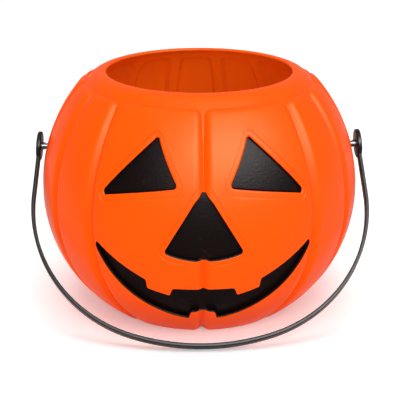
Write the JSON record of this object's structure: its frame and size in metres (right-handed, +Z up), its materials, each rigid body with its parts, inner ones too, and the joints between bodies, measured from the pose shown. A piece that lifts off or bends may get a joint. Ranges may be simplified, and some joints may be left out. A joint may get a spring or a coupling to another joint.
{
  "type": "pumpkin candy pail",
  "caption": "Jack-o'-lantern treat pail: a lobed orange plastic pumpkin open at the top, with a recessed black-painted face and a black strap handle that swings on snap studs.",
  "frame": {"origin": "on the floor, on the pail's upright axis", "axes": "+Z up, the face looks along -Y, and the handle's pivot line runs along X"},
  "size_m": [0.228, 0.2145, 0.1645],
  "materials": {
    "orange_plastic": "satin moulded",
    "black_paint": "satin brushed-on paint",
    "black_strap": "satin moulded",
    "black_stud": "gloss moulded"
  },
  "bodies": {
    "pail": {"pail_shell": "orange_plastic", "left_eye_paint": "black_paint", "right_eye_paint": "black_paint", "nose_paint": "black_paint", "mouth_paint": "black_paint"},
    "handle": {"handle_strap": "black_strap", "left_pivot_stud": "black_stud", "right_pivot_stud": "black_stud"}
  },
  "joints": [
    {"name": "handle_swing", "type": "hinge", "parent": "pail", "child": "handle", "pos_m": [0, 0, 0.1114], "axis": [-1, 0, 0], "range_deg": [0, 277.5]}
  ]
}
